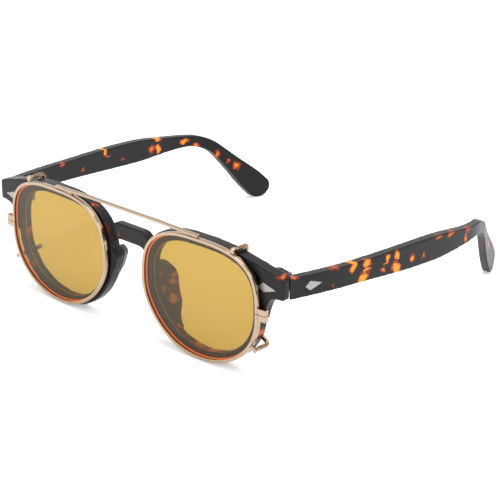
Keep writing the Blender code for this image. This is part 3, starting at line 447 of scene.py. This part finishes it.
# Nickel silver, lapped flat with the acetate: greyer and softer than the plating.
nickel_silver = worked_metal("lapped nickel silver", ("949194", "A4A1A4"), 0.24, 0.34)
# Stainless steel as stamped: grey with a satin grain.
stamped_steel = worked_metal("stamped stainless steel", ("9C9C9A", "B4B4B2"), 0.28, 0.42)
# Tinted CR-39: amber, 0.8 mm, each face passing the root of the tint.
tinted_resin = clear_sheet("tinted allyl resin", ("DCC887", "DAC582"), 1.50, 0.02)
# Clear CR-39 of the demonstration lenses: nearly nothing but its shine.
clear_resin = clear_sheet("clear allyl resin", ("FCFCFA", "FDFDFB"), 1.50, 0.02)
# A lens's ground bevel: frosted, in its own tone, with a painted glow so that it shows as a fine bright line
# where the bevel catches light.
clear_edge_glow = glowing_ground_edge("ground edge of clear resin", "B9B3A2", "CCC6B4", 0.12)
tinted_edge_glow = glowing_ground_edge("ground edge of tinted resin", "E2913A", "F0A548", 0.85)
# Silicone tube: milky and soft, so that the wire shows through it.
silicone = clear_sheet("clear silicone tube", ("E6DDD4", "EEE6DE"), 1.40, 0.18)


# ---- Acetate front ----
def end_piece_outline():
    top = [(44.0, 43.3), (50.0, 42.6), (60.0, 40.5), (HALF_FRONT - 0.6, END_TOP + 0.1),
           (HALF_FRONT, END_TOP - 0.6)]
    low = spline([(HALF_FRONT - 1.6, END_LOW), (66.6, END_LOW - 0.2), (65.0, END_LOW - 0.9),
                  (63.8, END_LOW - 2.6), (62.6, END_LOW - 5.4), (61.4, END_LOW - 9.4)], 5)
    return top + [(HALF_FRONT, END_LOW + 0.6), (HALF_FRONT - 0.6, END_LOW)] + low + [
        (60.4, END_LOW - 9.4), (60.4, 36.0), (54.0, 41.0), (44.0, 42.2)]


def end_block_outline():
    return [(60.4, 38.0), (64.0, 38.9), (HALF_FRONT - 0.6, END_TOP + 0.1), (HALF_FRONT, END_TOP - 0.6),
            (HALF_FRONT, END_LOW + 0.6), (HALF_FRONT - 0.6, END_LOW), (66.6, END_LOW - 0.2),
            (61.4, END_LOW - 0.4),
            (60.8, 33.0)]


def bridge_outline():
    top = spline([(6.2, 37.8), (7.8, 37.2), (9.4, 35.8), (11.2, 32.8)], 4)
    low = spline([(9.8, 29.3), (8.2, 30.4), (6.2, 31.5), (4.2, 31.9), (0.0, 31.9)], 4)
    half = top + low
    return half + [(-u, v) for u, v in half[:-1]][::-1]


def flange_edge(steps=5):
    return spline([(9.2, SHOULDER_Z + 2.4), (NOSE_HALF, SHOULDER_Z), (NOSE_HALF + 0.6, SHOULDER_Z - 3.0),
                   (NOSE_HALF + 2.1, SHOULDER_Z - 7.0), (11.0, SHOULDER_Z - 11.0),
                   (13.0, 10.7), (16.6, 7.2), (20.4, PAD_LOW)],
                  steps)


def nose_flange():
    inner = spline([(22.2, PAD_LOW + 0.9), (18.5, 8.4), (15.2, 12.4), (12.6, 18.0), (11.4, 24.0),
                    (10.8, SHOULDER_Z + 2.6)], 4)
    return flange_edge() + inner


def acetate_front():
    """Rims, keyhole bridge, flanges and end pieces, as one skin."""
    mesh = bmesh.new()
    add_slab(mesh, bridge_outline(), FRONT_Y + 0.9, BACK_Y, on_front())
    for _, side in SIDES:
        place = on_front(side)
        rim = [(u, max(v, 0.0)) for u, v in eye_shape(*RIM)]
        add_ring(mesh, eye_shape(*EYE), rim, FRONT_Y, BACK_Y, place)
        add_slab(mesh, nose_flange(), FRONT_Y + 0.6, BACK_Y, place)
        end = bmesh.new()
        add_slab(end, end_piece_outline(), FRONT_Y, BACK_Y, place)
        block = bmesh.new()
        add_slab(block, end_block_outline(), FRONT_Y + 0.4, END_BACK, place)
        seam = Vector((side * HALF_FRONT * MM, (SEAM_Y + DEPTH_ZERO) * MM, 0))
        for part in (end, block):
            cut_away(part, seam, Vector((side * math.sin(MITRE), math.cos(MITRE), 0)))
            outward(part)
            merge_into(mesh, part)
    return tumbled("acetate_front", mesh, 0.30, 6, front_acetate)


def nose_pad(side):
    """Built-up pad that leans out as it goes back and fades into the rim at its foot."""
    start = BACK_Y + 0.05
    edge = np.array(sorted((v, u) for u, v in flange_edge(12)))

    def place(u, v, w):
        share = (w - start) / PAD_DEPTH
        rise = min(max((v - PAD_LOW) / PAD_RAMP, 0.0), 1.0)
        share *= PAD_FOOT + (1 - PAD_FOOT) * rise * rise * (3 - 2 * rise)
        across = (u - float(np.interp(v, edge[:, 0], edge[:, 1]))) / PAD_WIDTH
        lean = share * (PAD_SPLAY * PAD_DEPTH + PAD_SPREAD * across)
        fall = share * (0.6 + 0.10 * (v - SHOULDER_Z) + max(v - 18.0, 0.0) * 0.20 * across)
        back = start + share * PAD_DEPTH + wrap(u) + DEPTH_ZERO
        return (side * (u + lean) * MM, back * MM, (v - fall) * MM)

    mesh = bmesh.new()
    outline = [(u, v) for u, v in nose_flange() if v < SHOULDER_Z + 2.0]
    add_slab(mesh, outline, start, start + PAD_DEPTH, place)
    return tumbled(f"acetate_nose_pad_{'left' if side > 0 else 'right'}", mesh, 0.25, 20, pad_acetate)


# ---- Temples ----
def temple_outline():
    start = Vector((SEAM_Y, END_TOP - 0.3 - TEMPLE_WIDTHS[0][1] / 2))
    heading = Vector((math.cos(PITCH), -math.sin(PITCH)))
    lead = Vector((10.0, -10.0 * math.tan(PITCH)))
    stations = [(start - lead, PITCH, TEMPLE_WIDTHS[0][1])]
    stations += [(start + heading * TEMPLE_STRAIGHT * s, PITCH, w) for s, w in TEMPLE_WIDTHS]
    corner = start + heading * TEMPLE_STRAIGHT
    centre = corner + Vector((-math.sin(PITCH), -math.cos(PITCH))) * BEND_R
    for i in (1, 2, 3):
        a = PITCH + BEND * i / 4
        stations.append((centre + Vector((math.sin(a), math.cos(a))) * BEND_R, a, TEMPLE_WIDTHS[-1][1]))
    low = PITCH + BEND
    root = centre + Vector((math.sin(low), math.cos(low))) * BEND_R
    run = (root.y - TIP_R) / math.sin(low)
    down = Vector((math.cos(low), -math.sin(low)))
    stations += [(root + down * run * s, low, w) for s, w in TIP_WIDTHS]
    end = root + down * run
    top = []
    bottom = []
    for middle, slope, width in stations:
        up = Vector((math.sin(slope), math.cos(slope))) * width / 2
        top.append(middle + up)
        bottom.append(middle - up)
    arc = []
    for i in range(1, 12):
        a = math.pi / 2 - low - math.pi * i / 12
        arc.append(end + Vector((math.cos(a), math.sin(a))) * TIP_R)
    top.append(arc[0])
    bottom.append(arc[-1])
    return [Vector(p) for p in spline(top, 8)] + arc[1:-1] + [Vector(p) for p in spline(bottom, 8)][::-1]


def acetate_temple(name, side):
    """A temple with its mitred front end and its edges tumbled round."""
    mesh = bmesh.new()
    add_slab(mesh, temple_outline(), 0.0, TEMPLE_T, on_temple(side), strip=1.5)
    back = Vector((side * math.sin(MITRE), math.cos(MITRE), 0))
    seam = Vector((side * HALF_FRONT * MM, (SEAM_Y + DEPTH_ZERO) * MM, 0)) + back * 0.12 * MM
    cut_away(mesh, seam, -back)
    return tumbled(f"acetate_temple_{name}", mesh, 0.25, 9, temple_acetate[side])


# ---- Rivets ----
def rivet_head(name, tip, length, place, proud, material):
    """A kite of nickel silver, a hair proud of the acetate."""
    wide = tip - length * 0.71
    outline = [(tip, KITE_Z), (wide, KITE_Z + KITE_H / 2), (tip - length, KITE_Z),
               (wide, KITE_Z - KITE_H / 2)]
    mesh = bmesh.new()
    add_slab(mesh, outline, proud, proud + 0.5, place)
    bmesh.ops.dissolve_limit(mesh, angle_limit=math.radians(0.5), verts=mesh.verts, edges=mesh.edges)
    return piece(name, mesh, material)


# ---- Wires swept by Geometry Nodes ----
def wire_tree():
    """Geometry Nodes that run a profile along a path and give it its metal."""
    tree = bpy.data.node_groups.new("wire along a path", "GeometryNodeTree")
    tree.interface.new_socket("Path", in_out="INPUT", socket_type="NodeSocketGeometry")
    tree.interface.new_socket("Profile", in_out="INPUT", socket_type="NodeSocketObject")
    tree.interface.new_socket("Finish", in_out="INPUT", socket_type="NodeSocketMaterial")
    tree.interface.new_socket("Wire", in_out="OUTPUT", socket_type="NodeSocketGeometry")
    given = add_node(tree, "NodeGroupInput").outputs
    level = add_node(tree, "GeometryNodeSetCurveNormal", {"Curve": given["Path"]}, mode="Z_UP")
    section = add_node(tree, "GeometryNodeObjectInfo", {"Object": given["Profile"]})
    wire = add_node(tree, "GeometryNodeCurveToMesh",
                    {"Curve": level.outputs[0], "Profile Curve": section.outputs["Geometry"]},
                    {"Fill Caps": True})
    real = add_node(tree, "GeometryNodeRealizeInstances", {"Geometry": wire.outputs[0]})
    done = add_node(tree, "GeometryNodeSetMaterial",
                    {"Geometry": real.outputs[0], "Material": given["Finish"]})
    add_node(tree, "NodeGroupOutput", {"Wire": done.outputs[0]})
    return tree


def poly_curve(name, points, closed):
    curve = bpy.data.curves.new(name, "CURVE")
    curve.dimensions = "3D"
    line = curve.splines.new("POLY")
    line.points.add(len(points) - 1)
    for point, co in zip(line.points, points):
        point.co = (*co, 1)
    line.use_cyclic_u = closed
    obj = bpy.data.objects.new(name, curve)
    bpy.context.scene.collection.objects.link(obj)
    return obj


def swept(name, path, profile, finish, place=None):
    """A wire as one plain mesh. place puts a wire that was swept flat onto the wrapped front."""
    line = poly_curve(name, path, False)
    section = poly_curve(f"{name} profile", [(*p, 0) for p in profile], True)
    modifier = line.modifiers.new("wire", "NODES")
    modifier.node_group = WIRE
    sockets = {item.name: item.identifier for item in WIRE.interface.items_tree if item.in_out == "INPUT"}
    modifier[sockets["Profile"]] = section
    modifier[sockets["Finish"]] = finish
    obj = finished(line)
    bpy.data.objects.remove(section)
    mesh = bmesh.new()
    mesh.from_mesh(obj.data)
    bmesh.ops.remove_doubles(mesh, verts=mesh.verts, dist=1e-7)
    if place:
        for vert in mesh.verts:
            vert.co = place(*(c / MM for c in vert.co))
    outward(mesh)
    mesh.to_mesh(obj.data)
    mesh.free()
    obj.data.shade_smooth()
    obj.data.set_sharp_from_angle(angle=math.radians(40))
    return obj


def round_profile(radius, count=18):
    return [(radius * MM * math.cos(2 * math.pi * i / count), radius * MM * math.sin(2 * math.pi * i / count))
            for i in range(count)]


def bevelled(obj, width):
    """Breaks the edges of a small part, as its plating does."""
    bevel = obj.modifiers.new("edge", "BEVEL")
    bevel.width = width * MM
    bevel.segments = 2
    bevel.limit_method = "ANGLE"
    bevel.angle_limit = math.radians(35)
    obj = finished(obj)
    obj.data.shade_smooth()
    obj.data.set_sharp_from_angle(angle=math.radians(40))
    return obj


WIRE = wire_tree()
BLOCK_ANGLE = math.radians(0.5)


def clip_rim(name, side):
    """Eyewire with a bead, a fine outer groove and the inner groove that holds the lens."""
    half_gap = 0.1 / CLIP[1][1]
    path = eye_shape(*CLIP, count=300, start=BLOCK_ANGLE + half_gap, turn=2 * math.pi - 2 * half_gap,
                     closed=False)
    # Outer side first, front to back, then the inner side with the lens groove. Out is +, depth runs back.
    section = [(-0.16, 0.0), (-0.04, 0.05), (0.0, 0.16), (0.0, 0.52), (-0.14, 0.60), (-0.14, 0.70),
               (0.0, 0.78), (0.0, 1.66), (-0.05, 1.77), (-0.16, 1.8), (-1.0, 1.8), (-1.1, 1.72),
               (-1.1, 1.42), (-0.65, 1.42), (-0.65, 0.38), (-1.1, 0.38), (-1.1, 0.08), (-1.0, 0.0)]
    return swept(f"eyewire_{name}", [(u * MM, v * MM, 0) for u, v in path],
                 [(r * MM, -d * MM) for r, d in section], plated_gold, on_front(side))


def rounded_path(corners, radius, steps=8):
    pts = [Vector(p) for p in corners]
    path = [pts[0]]
    for before, here, after in zip(pts, pts[1:], pts[2:]):
        into = (here - before).normalized()
        away = (after - here).normalized()
        half = into.angle(away) / 2
        start = here - into * radius * math.tan(half)
        centre = start + (away - into * away.dot(into)).normalized() * radius
        for i in range(steps + 1):
            turn = 2 * half * i / steps
            path.append(centre + (start - centre) * math.cos(turn) + into * radius * math.sin(turn))
    return path + [pts[-1]]


def clip_point(angle):
    before, here, after = (Vector(eye_shape(*CLIP, start=angle + d, count=1)[0]) for d in (-1e-4, 0.0, 1e-4))
    along = (after - before).normalized()
    return here, Vector((along.y, -along.x))


PRONGS = {"upper": (math.radians(58.0), 1.3, 3.6), "lower": (math.radians(-30.0), 1.7, 4.6)}
PRONG_Y = 0.9
PRONG_BACK = 7.35
SEAT = 1.5


def prong_path(side, which, first, end_in):
    angle, stand, hook = PRONGS[which]
    here, out = clip_point(angle)

    def point(r, d):
        flat = here + out * r
        return Vector((side * flat.x, d + wrap(here.x) + DEPTH_ZERO, flat.y)) * MM

    corners = [point(stand, PRONG_Y + first), point(stand, PRONG_BACK), point(-hook + end_in, PRONG_BACK)]
    return rounded_path(corners, 1.4 * MM)


def prong_parts(name, side, which):
    """Spring wire, its clear sleeve and the block that it is brazed into."""
    wire = swept(f"prong_wire_{which}_{name}", prong_path(side, which, 0.6, 0.0),
                 round_profile(SPRING_R), plated_gold)
    tube = swept(f"prong_tube_{which}_{name}", prong_path(side, which, 1.85, 0.4),
                 round_profile(SLEEVE_R), silicone)
    angle, stand, _ = PRONGS[which]
    here, out = clip_point(angle)
    across = Vector((-out.y, out.x))
    half = SEAT / 2
    corners = [here + out * 0.12 - across * half, here + out * (stand + half) - across * half,
               here + out * (stand + half) + across * half, here + out * 0.12 + across * half]
    mesh = bmesh.new()
    add_slab(mesh, [tuple(c) for c in corners], PRONG_Y - half, PRONG_Y + half, on_front(side), strip=500)
    bmesh.ops.dissolve_limit(mesh, angle_limit=math.radians(0.5), verts=mesh.verts, edges=mesh.edges)
    block = bevelled(piece(f"prong_block_{which}_{name}", mesh, plated_gold), 0.18)
    return wire, tube, block


def lens_bevel(name, shape, inner, outer, depths, place, material):
    """The narrow bevel round a lens, as its own band, which carries the painted glow of its edge material."""
    mesh = bmesh.new()
    add_ring(mesh, eye_shape(*shape, grow=inner), eye_shape(*shape, grow=outer), *depths, place)
    return piece(name, mesh, material)


def bridge_bar():
    """Flat bar of three straight runs, its edges broken."""
    seat = CLIP[0][1] + CLIP[1][1] + 0.1 + BAR_H / 2
    half = [(35.5, seat), (16.6, seat + 0.6), (0.0, seat + 0.6)]
    top = [(u, v + BAR_H / 2) for u, v in half]
    bottom = [(u, v - BAR_H / 2) for u, v in half]
    outline = top + [(-u, v) for u, v in top[:-1]][::-1] + [(-u, v) for u, v in bottom[:-1]] + bottom[::-1]
    mesh = bmesh.new()
    add_slab(mesh, outline, (WIRE_D - BAR_D) / 2, (WIRE_D + BAR_D) / 2, on_front(), strip=4.0)
    bmesh.ops.dissolve_limit(mesh, angle_limit=math.radians(0.05), verts=mesh.verts, edges=mesh.edges)
    return bevelled(piece("bridge_bar", mesh, plated_gold), 0.22)


def broken_edges(name, node, width, material):
    """A copy of a small CAD part with its edges broken."""
    mesh = bmesh.new()
    mesh.from_mesh(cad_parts[node].data)
    bmesh.ops.remove_doubles(mesh, verts=mesh.verts, dist=2e-6)
    bmesh.ops.dissolve_limit(mesh, angle_limit=math.radians(1), verts=mesh.verts, edges=mesh.edges)
    return bevelled(piece(name, mesh, material), width)


# ---- Assembly ----
def settle(obj, body, slot, *nodes):
    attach(obj, body)
    if nodes:
        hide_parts(*nodes)


settle(acetate_front(), "frame", "acetate", "front")
settle(bridge_bar(), "clip", "gold metal", "clip_bridge_bar")
for name, side in SIDES:
    settle(nose_pad(side), "frame", "acetate", f"nose_pad_{name}")
    settle(acetate_temple(name, side), f"temple_{name}", "acetate", f"temple_{name}")
    shape = eye_shape(*EYE, grow=GROOVE_DEPTH - 0.1)
    lens = slab(f"clear_lens_{name}", shape, *CLEAR_LENS, on_front(side), clear_resin)
    settle(lens, "frame", "clear lens", f"demo_lens_{name}")
    shape = eye_shape(*CLIP, grow=-0.75)
    tint = slab(f"tinted_lens_{name}", shape, *TINTED_LENS, on_front(side), tinted_resin)
    settle(tint, "clip", "tinted lens", f"clip_lens_{name}")
    # Bands on the lens bevels with a painted glow: a bright line in place of the light the bevels catch.
    bevel = lens_bevel(f"clear_bevel_{name}", EYE, -0.28, GROOVE_DEPTH - 0.2, (3.36, 3.48),
                       on_front(side), clear_edge_glow)
    settle(bevel, "frame", "clear lens")
    bevel = lens_bevel(f"tinted_bevel_{name}", CLIP, -1.42, -0.8, (1.32, 1.41), on_front(side), tinted_edge_glow)
    settle(bevel, "clip", "tinted lens")
    head = rivet_head(f"front_kite_{name}", 67.4, KITE_L, on_front(side), FRONT_Y - 0.05, nickel_silver)
    settle(head, "frame", "silver rivets", f"front_rivet_{name}")
    head = rivet_head(f"temple_kite_{name}", 20.1, TEMPLE_KITE_L, on_temple(side), -0.05, nickel_silver)
    settle(head, f"temple_{name}", "silver rivets", f"temple_rivet_{name}")
    settle(clip_rim(name, side), "clip", "gold metal", f"clip_rim_{name}")
    for which in PRONGS:
        wire, tube, block = prong_parts(name, side, which)
        settle(wire, "clip", "gold metal", f"prong_{which}_{name}")
        settle(tube, "clip", "clear sleeve", f"prong_sleeve_{which}_{name}")
        settle(block, "clip", "gold metal", f"prong_seat_{which}_{name}")
    for part in ("upper", "lower"):
        block = broken_edges(f"barrel_{part}_{name}", f"closing_block_{part}_{name}", 0.42, plated_gold)
        settle(block, "clip", "gold metal", f"closing_block_{part}_{name}")

for name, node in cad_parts.items():
    if name.startswith(("hinge_", "core_wire")):
        finish = stamped_steel
    elif name.startswith(("closing_screw", "clip_bar_foot")):
        finish = plated_gold
    else:
        continue
    node.data.materials.clear()
    node.data.materials.append(finish)

# ---- Stage, light and camera ----
floor_mesh = bmesh.new()
bmesh.ops.create_grid(floor_mesh, x_segments=1, y_segments=1, size=3.0)
floor = piece("floor", floor_mesh)
floor.location.z = -0.0002
floor_material, floor_tree = new_material("lit white table")
paper = add_node(floor_tree, "ShaderNodeBsdfDiffuse", values={"Color": linear("FAFAFA"), "Roughness": 0.6})
# The table is lit from below as well, which fills the shadows on it.
glow = add_node(floor_tree, "ShaderNodeEmission", values={"Color": linear("FFFFFF"), "Strength": 0.26})
table = add_node(floor_tree, "ShaderNodeAddShader", {0: paper.outputs[0], 1: glow.outputs[0]})
show(floor_tree, table.outputs[0])
floor.data.materials.append(floor_material)

world = bpy.data.worlds.new("soft studio")
bpy.context.scene.world = world
world.use_nodes = True
sky = world.node_tree.nodes["Background"].inputs
sky["Color"].default_value = linear("FFFFFF")
sky["Strength"].default_value = 1.0
bpy.context.scene.view_settings.view_transform = "Standard"


def softbox(name, place, aim, size, power):
    light = bpy.data.lights.new(name, "AREA")
    light.shape = "RECTANGLE"
    light.size, light.size_y = size
    light.energy = power
    obj = bpy.data.objects.new(name, light)
    obj.location = place
    obj.rotation_euler = (Vector(aim) - Vector(place)).to_track_quat("-Z", "Y").to_euler()
    bpy.context.scene.collection.objects.link(obj)


softbox("top softbox", (0.0, 0.1, 0.9), (0, 0, 0), (0.6, 0.6), 4.0)
softbox("side softbox", (0.8, 0.2, 0.5), (0, 0, 0.02), (0.4, 0.6), 1.4)

camera = bpy.data.cameras.new("view")
camera.lens = 121.5
camera.sensor_width = 36
camera.clip_start = 0.01
eye = bpy.data.objects.new("view", camera)
bpy.context.scene.collection.objects.link(eye)
# In front, to the left and above, as the photographer stood.
spot = Vector((399.95, -361.34 + DEPTH_ZERO, 246.32)) * MM
target = Vector((14.52, 48.37 + DEPTH_ZERO, 20.02)) * MM
eye.location = spot
eye.rotation_euler = (target - spot).to_track_quat("-Z", "Y").to_euler()
bpy.context.scene.camera = eye
